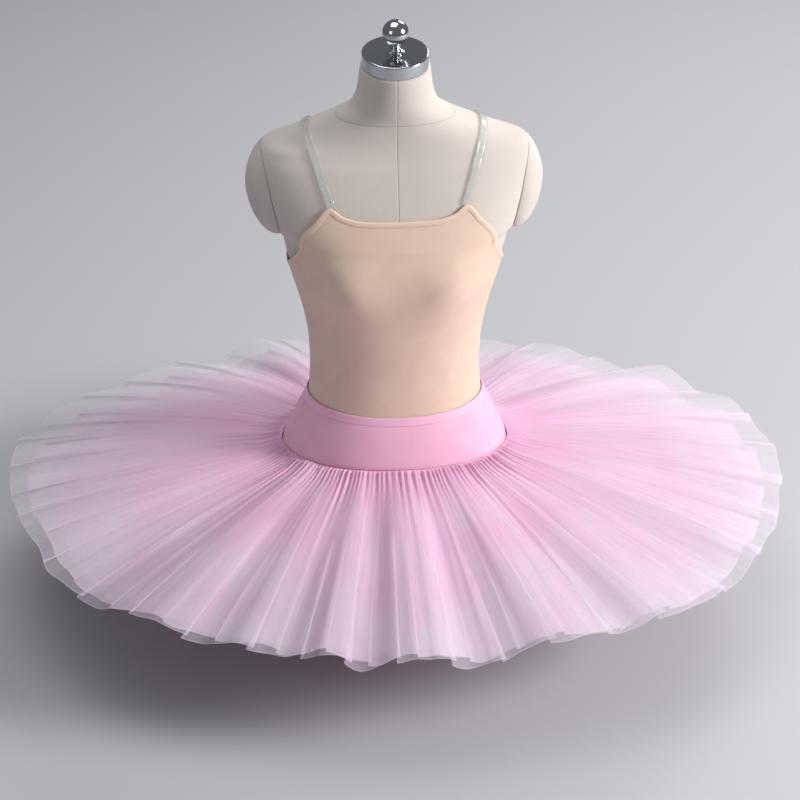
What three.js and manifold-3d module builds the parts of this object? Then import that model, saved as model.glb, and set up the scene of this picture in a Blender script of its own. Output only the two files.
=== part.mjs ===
// A pancake tutu on a limbless tabletop dress form.
// Millimetres, +Z up, the wearer's front towards -Y, standing on four rubber feet at Z = 0.

import * as THREE from 'three';
import { mergeVertices } from 'three/addons/utils/BufferGeometryUtils.js';
import Module from 'manifold-3d';

const wasm = await Module();
wasm.setup();

// ---------------------------------------------------------------- driving dimensions

const FOOT_HEIGHT = 10; // rubber foot, floor to the form's flat base
const FOOT_RADIUS = 10;
const FOOT_X = 100; // half the spacing of the feet, across and along
const FOOT_Y = 52;

const WAIST_HEIGHT = 316; // top edge of the basque at the side
const BASQUE_DIP = 6; // how much lower that edge is at centre front and back
const BASQUE_HEM = 237; // lower edge of the basque, where the brief is sewn on
const BODICE_HEM = 298; // raw edge of the bodice, tucked inside the basque

const MESH_GAP = 0.3; // between pieces that touch
const FACET_GAP = 1.5; // between curved pieces that lie on each other
const EASE = 2.4; // from the form's cover to the cloth
const BODICE_WALL = 1.2;
const BASQUE_WALL = 1.4;
const BRIEF_EASE = 4.5; // the brief is fuller than the bodice
const BRIEF_WALL = 1.4;
const TULLE_WALL = 1.3; // gathered net, measured upright
const BINDING_WALL = 1.0;
const BINDING_WIDTH = 7;
const STRAP_WALL = 1.0;
const STRAP_WIDTH = 11;

const NECK_TOP = 812; // top of the form's padded neck
const NECK_CENTRE = -18; // the neck leans forward of the waist
const NECK_TILT = 8; // degrees that its top slopes down to the front
const NECK_ROOT = 757; // where that slope fades out
const CAP_RADIUS = 45.5; // steel neck cap
const CAP_HEIGHT = 20;
const BALL_RADIUS = 18;
const BALL_LIFT = 29; // ball's centre above the cap

const FORM_COLUMNS = 40; // facets round the form
const TULLE_COLUMNS = 84; // facets round a frill
const FOLDS = 18; // large folds round a frill

// Sections of the form as superellipses about x = 0, y = centre. From the armpits up they run
// on past the shoulder seams, which cut them off.
const FORM = [
  { z: 10, width: 150, front: 96, back: 106, centre: 0, power: 2.2 },
  { z: 40, width: 160, front: 102, back: 116, centre: 0, power: 2.2 },
  { z: 116, width: 171, front: 108, back: 124, centre: 0, power: 2.2 },
  { z: 180, width: 166, front: 108, back: 117, centre: 0, power: 2.2 },
  { z: 237, width: 153, front: 105, back: 102, centre: 0, power: 2.2 },
  { z: 280, width: 135, front: 95, back: 89, centre: 0, power: 2.2 },
  { z: 316, width: 119, front: 85, back: 80, centre: 0, power: 2.2 },
  { z: 360, width: 116.5, front: 84, back: 80, centre: 0, power: 2.2 },
  { z: 400, width: 118, front: 87, back: 84, centre: 0, power: 2.2 },
  { z: 441, width: 124.5, front: 92, back: 89, centre: 0, power: 2.25 },
  { z: 500, width: 140, front: 101, back: 95, centre: 0, power: 2.35 },
  { z: 540, width: 151, front: 103, back: 98, centre: 0, power: 2.5 },
  { z: 569, width: 158, front: 101, back: 99, centre: 0, power: 2.6 },
  { z: 578, width: 166, front: 99, back: 99, centre: 0, power: 2.65 },
  { z: 598, width: 175, front: 94, back: 98, centre: 0, power: 2.75 },
  { z: 640, width: 186, front: 82, back: 94, centre: 0, power: 2.8 },
  { z: 672, width: 191, front: 70, back: 88, centre: 0, power: 2.7 },
  { z: 692, width: 186, front: 60, back: 80, centre: 0, power: 2.5 },
  { z: 707, width: 153, front: 55, back: 73, centre: -1, power: 2.3 },
  { z: 723, width: 117, front: 52, back: 65, centre: -3, power: 2.2 },
  { z: 740, width: 83, front: 50, back: 56, centre: -6, power: 2.1 },
  { z: 757, width: 60, front: 50, back: 50, centre: -11, power: 2 },
  { z: 778, width: 52, front: 48, back: 48, centre: -15, power: 2 },
  { z: NECK_TOP, width: 47.5, front: 47, back: 47, centre: NECK_CENTRE, power: 2 },
];

// Soft fullness of the chest under the bodice.
const CHEST = { angle: 27, spread: 20, z: 512, height: 42, fullness: 13 };

// Plane of the shoulder seams, between the torso and its end caps.
const SEAM_LOW = { x: 158, z: 569 };
const SEAM_HIGH = { x: 184, z: 692 };
const CAP_BULGE = 34; // how far an end cap rounds out from its seam
const CAP_CENTRE = { y: 4, z: 628 }; // where it stands out most
const CAP_SLOPE = 0.7; // how much later it swells at the top than at the sides
const CAP_LEVELS = 9;

// Top edge of the bodice: neckline, strap point, armhole, strap point at the back.
const BODICE_TOP = [
  { angle: 0, z: 611 },
  { angle: 9, z: 612.5 },
  { angle: 17, z: 619 },
  { angle: 22.5, z: 630 },
  { angle: 32, z: 610 },
  { angle: 44, z: 588 },
  { angle: 62, z: 551 },
  { angle: 90, z: 524 },
  { angle: 115, z: 526 },
  { angle: 138, z: 549 },
  { angle: 153, z: 570 },
  { angle: 163, z: 556 },
  { angle: 180, z: 550 },
];

// Straps: half their spacing at the bodice, over the shoulder, and at the back.
const STRAP_FRONT_X = 91;
const STRAP_SHOULDER_X = 121;
const STRAP_BACK_X = 72;
const STRAP_STEPS = 11; // facets from the ridge of the shoulder to each end
const STRAP_CLEARANCE = 2.5; // from the bodice's edge to the strap's end

// Rows of tulle, from the top: where each is sewn, how far it reaches, how far it droops.
const FRILLS = [
  { seat: 232, reach: 392, droop: 52 },
  { seat: 224, reach: 364, droop: 56 },
  { seat: 216, reach: 336, droop: 60 },
  { seat: 208, reach: 300, droop: 62 },
  { seat: 200, reach: 262, droop: 62 },
  { seat: 192, reach: 222, droop: 60 },
];
// How much lower the edge hangs than the side tips, by angle from the front.
const EXTRA_FALL = [
  { angle: 0, fall: 12 },
  { angle: 50, fall: 4 },
  { angle: 90, fall: 0 },
  { angle: 120, fall: 26 },
  { angle: 150, fall: 44 },
  { angle: 180, fall: 22 },
];
// Where the tulle swings out furthest, as a share more of its reach.
const LONG_SIDE = { angle: 58, spread: 24, more: 0.04 };
const FOLD_DEPTH = 10; // half the height of a fold at the edge of the top frill
const GATHER_DEPTH = 1.2; // and where it is sewn on

// Brief, downwards: half its width as an angle on the form, then half its width under the base.
const BRIEF_ROWS = [
  { z: BASQUE_HEM - MESH_GAP, half: 89.9 },
  { z: 180, half: 89.9 },
  { z: 150, half: 79 },
  { z: 132, half: 68 },
  { z: 116, half: 57 },
  { z: 78, half: 35 },
  { z: 40, half: 22 },
  { z: FOOT_HEIGHT, half: 16 },
];
const GUSSET_HALF = 34; // half its width at the crotch seam

// ---------------------------------------------------------------- curves and sections

// Monotone cubic through the rows of a table: the value of one column at x.
function along(table, key, column, x) {
  const last = table.length - 1;
  if (x <= table[0][key]) return table[0][column];
  if (x >= table[last][key]) return table[last][column];
  let i = 0;
  while (table[i + 1][key] < x) i += 1;
  const rise = (k) => table[k + 1][column] - table[k][column];
  const slope = (k) => rise(k) / (table[k + 1][key] - table[k][key]);
  const tangent = (k) => {
    if (k === 0) return slope(0);
    if (k === last) return slope(last - 1);
    const before = slope(k - 1);
    const after = slope(k);
    return before * after <= 0 ? 0 : (2 * before * after) / (before + after);
  };
  const span = table[i + 1][key] - table[i][key];
  const t = (x - table[i][key]) / span;
  const s = 1 - t;
  return table[i][column] * s * s * (1 + 2 * t) + tangent(i) * span * t * s * s
    + table[i + 1][column] * t * t * (1 + 2 * s) - tangent(i + 1) * span * s * t * t;
}

const radians = THREE.MathUtils.degToRad;
const bell = (x) => Math.exp(-x * x);
const rounded = (v, power) => Math.sign(v) * Math.abs(v) ** (2 / power);
const SEAM_LEAN = (SEAM_HIGH.x - SEAM_LOW.x) / (SEAM_HIGH.z - SEAM_LOW.z);
const seamX = (z) => SEAM_LOW.x + SEAM_LEAN * (z - SEAM_LOW.z);

// A point on the form, or `out` mm outside it. The angle is 0 at centre front, 90 at the +X side.
function formPoint(z, angle, out = 0) {
  const turn = ((angle + 540) % 360) - 180;
  const power = along(FORM, 'z', 'power', z);
  const across = rounded(Math.sin(radians(turn)), power);
  const ahead = rounded(Math.cos(radians(turn)), power);
  const chest = CHEST.fullness * bell((Math.abs(turn) - CHEST.angle) / CHEST.spread)
    * bell((z - CHEST.z) / CHEST.height);
  const depth = ahead > 0 ? along(FORM, 'z', 'front', z) + chest : along(FORM, 'z', 'back', z);
  const width = along(FORM, 'z', 'width', z);
  const centre = along(FORM, 'z', 'centre', z);
  return new THREE.Vector3((width + out) * across, centre - (depth + out) * ahead, z);
}

// Outward normal of the form's surface, from two short steps on it.
function formNormal(z, angle) {
  const up = formPoint(z + 0.5, angle).sub(formPoint(z - 0.5, angle));
  const round = formPoint(z, angle + 0.25).sub(formPoint(z, angle - 0.25));
  return round.cross(up).normalize();
}

const basqueTop = (angle) => WAIST_HEIGHT - BASQUE_DIP * Math.cos(radians(angle)) ** 2;
const bodiceTop = (angle) => {
  const turn = Math.abs(((angle + 540) % 360) - 180);
  return along(BODICE_TOP, 'angle', 'z', turn);
};

// ---------------------------------------------------------------- closed bodies

function geometryOf(points, faces) {
  const geometry = new THREE.BufferGeometry();
  const flat = points.flatMap((p) => p.toArray());
  geometry.setAttribute('position', new THREE.Float32BufferAttribute(flat, 3));
  geometry.setIndex(faces.flat());
  geometry.computeVertexNormals();
  return geometry;
}

// A wall between two sheets of points. sheet(side)[row][column] is the inner (0) or outer (1)
// sheet. Columns run counter-clockwise seen from above and rows run up, or the reverse of both.
function wall(sheet, ring) {
  const sides = [sheet(0), sheet(1)];
  const rows = sides[0].length;
  const columns = sides[0][0].length;
  const points = [...sides[0].flat(), ...sides[1].flat()];
  const at = (side, row, column) => side * rows * columns + row * columns + (column % columns);
  const faces = [];
  const quad = (a, b, c, d) => faces.push([a, b, c], [a, c, d]);
  const spans = ring ? columns : columns - 1;
  for (let j = 0; j < spans; j += 1) {
    for (let i = 0; i < rows - 1; i += 1) {
      quad(at(1, i, j), at(1, i, j + 1), at(1, i + 1, j + 1), at(1, i + 1, j));
      quad(at(0, i + 1, j), at(0, i + 1, j + 1), at(0, i, j + 1), at(0, i, j));
    }
    quad(at(0, 0, j), at(0, 0, j + 1), at(1, 0, j + 1), at(1, 0, j));
    quad(at(1, rows - 1, j), at(1, rows - 1, j + 1), at(0, rows - 1, j + 1), at(0, rows - 1, j));
  }
  if (!ring) {
    for (let i = 0; i < rows - 1; i += 1) {
      quad(at(0, i + 1, 0), at(0, i, 0), at(1, i, 0), at(1, i + 1, 0));
      const j = columns - 1;
      quad(at(0, i, j), at(0, i + 1, j), at(1, i + 1, j), at(1, i, j));
    }
  }
  return geometryOf(points, faces);
}

// Evenly spaced values, both ends included.
function spaced(from, to, count) {
  return Array.from({ length: count + 1 }, (_, k) => from + ((to - from) * k) / count);
}

function toManifold(geometry) {
  const bare = geometry.clone();
  bare.deleteAttribute('normal');
  bare.deleteAttribute('uv');
  const merged = mergeVertices(bare, 1e-4);
  return new wasm.Manifold(new wasm.Mesh({
    numProp: 3,
    vertProperties: new Float32Array(merged.attributes.position.array),
    triVerts: new Uint32Array(merged.index.array),
  }));
}

function fromManifold(solid) {
  const mesh = solid.getMesh();
  const geometry = new THREE.BufferGeometry();
  geometry.setAttribute('position', new THREE.BufferAttribute(mesh.vertProperties, 3));
  geometry.setIndex(new THREE.BufferAttribute(mesh.triVerts, 1));
  geometry.computeVertexNormals();
  return geometry;
}

// ---------------------------------------------------------------- dress form

// The padded body: rings up the sections, closed by a flat base and a sloping neck top.
function formBody() {
  const levels = FORM.map((section) => section.z);
  const points = [];
  const faces = [];
  const slope = Math.tan(radians(NECK_TILT));
  levels.forEach((z) => {
    const lean = slope * Math.max(0, (z - NECK_ROOT) / (NECK_TOP - NECK_ROOT));
    for (let j = 0; j < FORM_COLUMNS; j += 1) {
      const p = formPoint(z, (360 * j) / FORM_COLUMNS);
      p.z += lean * (p.y - NECK_CENTRE);
      points.push(p);
    }
  });
  for (let i = 0; i < levels.length - 1; i += 1) {
    for (let j = 0; j < FORM_COLUMNS; j += 1) {
      const a = i * FORM_COLUMNS + j;
      const b = i * FORM_COLUMNS + ((j + 1) % FORM_COLUMNS);
      faces.push([a, b, b + FORM_COLUMNS], [a, b + FORM_COLUMNS, a + FORM_COLUMNS]);
    }
  }
  const base = points.push(new THREE.Vector3(0, 0, levels[0])) - 1;
  const top = points.push(new THREE.Vector3(0, NECK_CENTRE, NECK_TOP)) - 1;
  const lastRing = (levels.length - 1) * FORM_COLUMNS;
  for (let j = 0; j < FORM_COLUMNS; j += 1) {
    const next = (j + 1) % FORM_COLUMNS;
    faces.push([next, j, base], [lastRing + j, lastRing + next, top]);
  }
  return geometryOf(points, faces);
}

// A block that holds all that lies outside one shoulder seam.
function beyondSeam(side) {
  const size = 400;
  const block = new THREE.BoxGeometry(size, size, size);
  block.translate(size / 2, 0, 0);
  block.rotateY(Math.atan(SEAM_LEAN));
  block.translate((SEAM_HIGH.x + SEAM_LOW.x) / 2, 0, (SEAM_HIGH.z + SEAM_LOW.z) / 2);
  if (side < 0) block.rotateZ(Math.PI);
  return toManifold(block);
}

// End cap: a dome on the outline that the seam plane cuts from the torso.
function endCap(side) {
  const levels = spaced(SEAM_LOW.z + 1, SEAM_HIGH.z, CAP_LEVELS);
  const cutDepth = (z, face) => {
    const power = along(FORM, 'z', 'power', z);
    const share = Math.min(1, seamX(z) / along(FORM, 'z', 'width', z));
    return along(FORM, 'z', face, z) * (1 - share ** power) ** (1 / power);
  };
  const front = levels.map((z) => new THREE.Vector3(seamX(z), -cutDepth(z, 'front'), z));
  const back = levels.map((z) => new THREE.Vector3(seamX(z), cutDepth(z, 'back'), z)).reverse();
  const outline = [...front, ...back];
  const middle = new THREE.Vector3(seamX(CAP_CENTRE.z), CAP_CENTRE.y, CAP_CENTRE.z);
  const normal = new THREE.Vector3(1, 0, -SEAM_LEAN).normalize();
  const points = [];
  const faces = [];
  const rings = [0, 14, 32, 52, 72];
  rings.forEach((degrees) => {
    const shrink = Math.cos(radians(degrees));
    const swell = Math.sin(radians(degrees));
    outline.forEach((p) => {
      const high = Math.max(0, (p.z - middle.z) / (SEAM_HIGH.z - middle.z));
      points.push(middle.clone().lerp(p, shrink)
        .addScaledVector(normal, MESH_GAP + CAP_BULGE * swell ** (1 + CAP_SLOPE * high)));
    });
  });
  const count = outline.length;
  for (let i = 0; i < rings.length - 1; i += 1) {
    for (let j = 0; j < count; j += 1) {
      const a = i * count + j;
      const b = i * count + ((j + 1) % count);
      faces.push([b, a, a + count], [b, a + count, b + count]);
    }
  }
  const base = points.push(middle.clone().addScaledVector(normal, MESH_GAP)) - 1;
  const tip = points.push(middle.clone().addScaledVector(normal, MESH_GAP + CAP_BULGE)) - 1;
  const lastRing = (rings.length - 1) * count;
  for (let j = 0; j < count; j += 1) {
    const next = (j + 1) % count;
    faces.push([j, next, base], [lastRing + next, lastRing + j, tip]);
  }
  if (side < 0) {
    points.forEach((p) => { p.x = -p.x; });
    faces.forEach((face) => face.reverse());
  }
  return geometryOf(points, faces);
}

// ---------------------------------------------------------------- cloth panels

// Panel on the form, between two offsets: level rows first, then rows that fan up to its top edge.
function panel(angles, levels, top, fanned, inner, thickness) {
  const last = levels[levels.length - 1];
  return wall((side) => {
    const out = inner + side * thickness;
    const level = levels.map((z) => angles.map((angle) => formPoint(z, angle, out)));
    const fan = spaced(0, 1, fanned).slice(1).map((v) => angles.map((angle) => (
      formPoint(last + (top(angle) - last) * v, angle, out)
    )));
    return [...level, ...fan];
  }, false);
}

// Column angles of a half, front or back: the form's own columns, and one on each strap point.
const STRAP_ANGLE = 22.5;
const BACK_STRAP_ANGLE = 153;
const SEAM_ANGLE = 89.93;
const halfAngles = (turn) => spaced(-90, 90, FORM_COLUMNS / 2)
  .map((angle) => turn + THREE.MathUtils.clamp(angle, -SEAM_ANGLE, SEAM_ANGLE));
const FRONT_ANGLES = [...halfAngles(0), -STRAP_ANGLE, STRAP_ANGLE].sort((a, b) => a - b);
const BACK_ANGLES = halfAngles(180);

// Half of the brief: down the form, round its base edge, and under it to the crotch seam.
function briefHalf(facing) {
  const turn = facing === 'front' ? 0 : 180;
  const ahead = facing === 'front' ? -1 : 1;
  const crotch = { y: MESH_GAP / 2, half: GUSSET_HALF };
  const across = spaced(-1, 1, 14);
  return wall((side) => {
    const out = BRIEF_EASE + side * BRIEF_WALL;
    const rows = BRIEF_ROWS.map((row) => across.map((u) => {
      const p = formPoint(row.z, turn + u * row.half, out);
      if (row.z === FOOT_HEIGHT) p.z -= out;
      return p;
    }));
    rows.push(across.map((u) => (
      new THREE.Vector3(-ahead * u * crotch.half, ahead * crotch.y, FOOT_HEIGHT - out)
    )));
    return rows.reverse();
  }, false);
}

// Edge binding: a closed strip outside the bodice, along its whole top edge.
function bindingLoop() {
  const inner = EASE + BODICE_WALL + FACET_GAP;
  const angles = [...FRONT_ANGLES, ...BACK_ANGLES.slice(1, -1)];
  const edge = (angle) => formPoint(bodiceTop(angle), angle);
  return wall((side) => {
    const inwards = angles.map((angle) => {
      const edgeway = edge(angle + 2).sub(edge(angle - 2)).normalize();
      return formNormal(bodiceTop(angle), angle).cross(edgeway).normalize();
    });
    const row = (down) => angles.map((angle, k) => {
      const normal = formNormal(bodiceTop(angle) - down, angle);
      return edge(angle).addScaledVector(inwards[k], -down)
        .addScaledVector(normal, inner + side * BINDING_WALL);
    });
    return [row(BINDING_WIDTH), row(0)];
  }, true);
}

// Strap: a flat strip over the shoulder, from the front strap point to the back one.
function strap(side) {
  const path = [];
  const angleFor = (x, z) => {
    const share = Math.min(1, x / along(FORM, 'z', 'width', z));
    return THREE.MathUtils.radToDeg(Math.asin(share ** (along(FORM, 'z', 'power', z) / 2)));
  };
  let ridge = SEAM_HIGH.z;
  while (along(FORM, 'z', 'width', ridge) > STRAP_SHOULDER_X) ridge += 0.25;
  const frontEnd = bodiceTop(STRAP_ANGLE) + STRAP_CLEARANCE;
  const backEnd = bodiceTop(BACK_STRAP_ANGLE) + STRAP_CLEARANCE;
  for (let k = -STRAP_STEPS; k <= STRAP_STEPS; k += 1) {
    const share = (k / STRAP_STEPS) ** 2;
    const end = k < 0 ? frontEnd : backEnd;
    const endX = k < 0 ? STRAP_FRONT_X : STRAP_BACK_X;
    const z = ridge - (ridge - end) * share;
    const x = STRAP_SHOULDER_X + (endX - STRAP_SHOULDER_X) * share;
    const angle = k < 0 ? angleFor(x, z) : 180 - angleFor(x, z);
    path.push({ point: formPoint(z, side * angle), normal: formNormal(z, side * angle) });
  }
  if (side < 0) path.reverse();
  return wall((face) => {
    const line = (half) => path.map(({ point, normal }, k) => {
      const next = path[Math.min(k + 1, path.length - 1)].point;
      const before = path[Math.max(k - 1, 0)].point;
      const across = normal.clone().cross(next.clone().sub(before)).normalize();
      return point.clone().addScaledVector(across, half)
        .addScaledVector(normal, EASE + face * STRAP_WALL);
    });
    return [line(-STRAP_WIDTH / 2), line(STRAP_WIDTH / 2)];
  }, false);
}

// ---------------------------------------------------------------- tulle

// Height of the uneven radial folds round a frill, -1 to 1.
function foldAt(angle) {
  const a = radians(angle);
  const drift = 0.07 * Math.sin(3 * a + 1.1) + 0.05 * Math.sin(5 * a + 2.3);
  const main = Math.sin(FOLDS * (a + drift)) * (0.7 + 0.25 * Math.sin(4 * a + 0.6));
  return main + 0.3 * Math.sin(11 * a + 0.9) * Math.sin(2 * a + 0.4);
}

// One gathered ring of tulle, from its seam on the brief out to its wavy edge.
function frill({ seat, reach, droop }) {
  const inner = BRIEF_EASE + BRIEF_WALL + FACET_GAP;
  const stations = [0, 0.45, 1];
  const angles = spaced(0, 360, TULLE_COLUMNS).slice(0, -1);
  const point = (angle, t) => {
    const start = formPoint(seat, angle, inner);
    const tangent = formPoint(seat, angle + 0.5).sub(formPoint(seat, angle - 0.5));
    const outwards = new THREE.Vector3(tangent.y, -tangent.x, 0).normalize();
    const edge = 1 + 0.012 * Math.sin(radians(7 * angle) + 1.7)
      + LONG_SIDE.more * bell((angle - LONG_SIDE.angle) / LONG_SIDE.spread);
    const fold = foldAt(angle) * (GATHER_DEPTH + (FOLD_DEPTH - GATHER_DEPTH) * t);
    const extra = along(EXTRA_FALL, 'angle', 'fall', Math.min(angle, 360 - angle));
    const fall = droop * (0.55 * t + 0.45 * t * t) + extra * (t * reach / FRILLS[0].reach) ** 2;
    return start.addScaledVector(outwards, reach * edge * t).setZ(seat + fold - fall);
  };
  return wall((side) => {
    const sheet = stations.map((t) => angles.map((angle) => {
      const p = point(angle, t);
      p.z += (side - 0.5) * TULLE_WALL;
      return p;
    }));
    return sheet.reverse();
  }, true);
}

// ---------------------------------------------------------------- turned metal and feet

// A solid turned about Z from [radius, height] pairs that start and end on the axis.
function turned(pairs, facets) {
  const profile = pairs.map(([radius, height]) => new THREE.Vector2(radius, height));
  return new THREE.LatheGeometry(profile, facets).rotateX(Math.PI / 2);
}

function neckCap() {
  const chamfer = 1.2;
  return turned([
    [0, MESH_GAP],
    [CAP_RADIUS, MESH_GAP],
    [CAP_RADIUS, CAP_HEIGHT - chamfer],
    [CAP_RADIUS - chamfer, CAP_HEIGHT],
    [0, CAP_HEIGHT],
  ], 48);
}

// Finial: a flared stem under a ball, turned in one piece.
function finial() {
  const stemRadius = 6;
  const footRadius = 12;
  const flare = footRadius - stemRadius;
  const profile = [[0, MESH_GAP], [footRadius, MESH_GAP]];
  [30, 60, 90].forEach((degrees) => {
    const a = radians(degrees);
    profile.push([footRadius - flare * Math.sin(a), MESH_GAP + flare * (1 - Math.cos(a))]);
  });
  spaced(Math.asin(stemRadius / BALL_RADIUS), Math.PI, 9).forEach((a) => {
    const radius = a === Math.PI ? 0 : BALL_RADIUS * Math.sin(a);
    profile.push([radius, BALL_LIFT - BALL_RADIUS * Math.cos(a)]);
  });
  return turned(profile, 28);
}

function foot() {
  return new THREE.CylinderGeometry(FOOT_RADIUS, FOOT_RADIUS - 1, FOOT_HEIGHT - MESH_GAP, 20)
    .rotateX(Math.PI / 2)
    .translate(0, 0, (FOOT_HEIGHT - MESH_GAP) / 2);
}

// ---------------------------------------------------------------- materials

const finish = (color, roughness, metalness = 0) => (
  new THREE.MeshStandardMaterial({ color, roughness, metalness, side: THREE.FrontSide })
);
const COVER = finish(0xdcd2c8, 0.85);
const NUDE_JERSEY = finish(0xe3bf9d, 0.6);
const PINK_JERSEY = finish(0xf0a9c8, 0.5);
const TULLE = finish(0xf2bfe0, 0.75);
const CLEAR_STRAP = finish(0xd9dcd4, 0.25);
const STEEL = finish(0xb9bcc0, 0.15, 1);
const RUBBER = finish(0x2b2b2c, 0.8);

// ---------------------------------------------------------------- assembly

const tutu = new THREE.Group();

function add(name, geometry, material, x = 0, y = 0, z = 0, group = tutu) {
  const mesh = new THREE.Mesh(geometry, material);
  mesh.name = name;
  mesh.position.set(x, y, z);
  group.add(mesh);
}

const torso = toManifold(formBody()).subtract(beyondSeam(-1)).subtract(beyondSeam(1));
add('form_torso', fromManifold(torso), COVER);
add('form_cap_left', endCap(-1), COVER);
add('form_cap_right', endCap(1), COVER);
// The steel cap and its finial stand square on the sloping top of the neck.
const neckTop = new THREE.Group();
neckTop.position.set(0, NECK_CENTRE, NECK_TOP);
neckTop.rotation.x = radians(NECK_TILT);
tutu.add(neckTop);
add('neck_cap', neckCap(), STEEL, 0, 0, 0, neckTop);
add('finial', finial(), STEEL, 0, 0, CAP_HEIGHT, neckTop);
[[-1, -1], [1, -1], [-1, 1], [1, 1]].forEach(([across, ahead], k) => {
  add(`foot_${k + 1}`, foot(), RUBBER, across * FOOT_X, ahead * FOOT_Y, 0);
});

const bodiceLevels = FORM.map((row) => row.z).filter((z) => z > BODICE_HEM && z <= 500);
const bodiceRows = [BODICE_HEM, ...bodiceLevels];
add('bodice_front', panel(FRONT_ANGLES, bodiceRows, bodiceTop, 4, EASE, BODICE_WALL), NUDE_JERSEY);
add('bodice_back', panel(BACK_ANGLES, bodiceRows, bodiceTop, 2, EASE, BODICE_WALL), NUDE_JERSEY);
add('bodice_binding', bindingLoop(), NUDE_JERSEY);
add('strap_left', strap(-1), CLEAR_STRAP);
add('strap_right', strap(1), CLEAR_STRAP);

const basqueRows = [BASQUE_HEM, 280, BODICE_HEM];
const basqueInner = EASE + BODICE_WALL + FACET_GAP;
add('basque_front', panel(halfAngles(0), basqueRows, basqueTop, 1, basqueInner, BASQUE_WALL), PINK_JERSEY);
add('basque_back', panel(BACK_ANGLES, basqueRows, basqueTop, 1, basqueInner, BASQUE_WALL), PINK_JERSEY);
add('brief_front', briefHalf('front'), PINK_JERSEY);
add('brief_back', briefHalf('back'), PINK_JERSEY);

FRILLS.forEach((row, k) => add(`frill_${k + 1}`, frill(row), TULLE));

// The origin is on the floor, under the middle of the whole outline.
tutu.updateMatrixWorld(true);
const outline = new THREE.Box3().setFromObject(tutu, true);
const centre = outline.getCenter(new THREE.Vector3());
tutu.position.set(-centre.x, -centre.y, -outline.min.z);

export default tutu;
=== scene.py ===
"""Ballet tutu on a limbless tabletop dress form.

The form, the cloth on it and the rows of net are surfaces on grids of two parameters. Shapes are
worked out in millimetres about the form's own middle, then moved into the frame in metres.
"""

import math

import bmesh
import bpy
import numpy as np
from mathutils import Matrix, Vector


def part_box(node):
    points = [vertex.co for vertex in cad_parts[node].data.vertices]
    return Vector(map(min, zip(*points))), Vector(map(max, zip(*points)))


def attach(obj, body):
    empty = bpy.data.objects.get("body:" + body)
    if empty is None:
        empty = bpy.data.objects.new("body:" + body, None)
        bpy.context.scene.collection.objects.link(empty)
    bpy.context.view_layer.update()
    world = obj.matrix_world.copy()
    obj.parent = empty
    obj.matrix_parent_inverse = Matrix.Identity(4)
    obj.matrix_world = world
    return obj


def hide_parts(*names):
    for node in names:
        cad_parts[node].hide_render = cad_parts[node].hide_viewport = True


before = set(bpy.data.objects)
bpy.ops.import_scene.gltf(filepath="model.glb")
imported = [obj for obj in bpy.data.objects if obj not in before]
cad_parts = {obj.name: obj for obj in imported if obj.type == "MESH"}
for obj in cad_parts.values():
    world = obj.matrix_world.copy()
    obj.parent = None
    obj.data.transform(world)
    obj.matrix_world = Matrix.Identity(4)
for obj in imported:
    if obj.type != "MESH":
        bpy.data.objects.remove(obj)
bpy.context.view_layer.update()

MM = 0.001
UV_NAME = "cloth"
FEET = [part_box(f"foot_{k}") for k in (1, 2, 3, 4)]
MIDDLE = sum(np.array(low) + np.array(high) for low, high in FEET) / (2 * len(FEET))
SHIFT = np.array([MIDDLE[0], MIDDLE[1], 0.0])

# ---------------------------------------------------------------- camera

AIM = np.array([0.0057, 0.0, 0.293])
DISTANCE = 4.5
AZIMUTH = math.radians(-4)
ELEVATION = math.radians(28)

camera_data = bpy.data.cameras.new("camera")
camera_data.sensor_width = 36
camera_data.lens = 141.75
camera_data.clip_end = 60
camera = bpy.data.objects.new("camera", camera_data)
bpy.context.scene.collection.objects.link(camera)
BACK = np.array([
    math.sin(AZIMUTH) * math.cos(ELEVATION),
    -math.cos(AZIMUTH) * math.cos(ELEVATION),
    math.sin(ELEVATION),
])
camera.location = AIM + BACK * DISTANCE
camera.rotation_euler = (math.pi / 2 - ELEVATION, 0, AZIMUTH)
bpy.context.scene.camera = camera

# ---------------------------------------------------------------- sizes, in millimetres

WAIST_HEIGHT, BASQUE_DIP, BASQUE_HEM, BODICE_HEM = 316, 6, 237, 298
BODICE_OUT, BODICE_WALL = 3.6, 1.2
BASQUE_OUT, BASQUE_WALL = 6.5, 1.4
BRIEF_OUT, BRIEF_WALL = 5.9, 1.4
FRILL_OUT = 7.4
NECK_TOP, NECK_CENTRE, NECK_TILT, NECK_ROOT = 812, -18, math.radians(8), 757
BASE = 10  # height of the form's flat base, on its feet
GAP = 0.3  # between pieces that touch
BUST_ANGLE, BUST_SPREAD, BUST_HEIGHT, BUST_TALL, BUST_FULL = 27, 20, 512, 42, 13
CAP_Y, CAP_Z, CAP_BULGE, CAP_SLOPE = 4, 628, 34, 0.7
STRAP_OUT, STRAP_HALF, STRAP_WALL = 2.4, 5.5, 1.0
STRAP_FRONT, STRAP_SHOULDER, STRAP_BACK = 91, 121, 72  # half the spacing of the straps
STRAP_ANGLE, BACK_STRAP_ANGLE = 22.5, 153  # where the straps meet the bodice's edge
SEAM_ANGLE = 89.93  # half a panel, from its middle to its side seam
CASING_AT = 0.835  # share of the basque's height where its casing is sewn down
GUSSET_HALF = 34
STEEL_RIM, STEEL_HEIGHT = 45.5, 20
STEM, STEM_FOOT, BALL, BALL_LIFT = 6, 12, 18, 29

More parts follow.
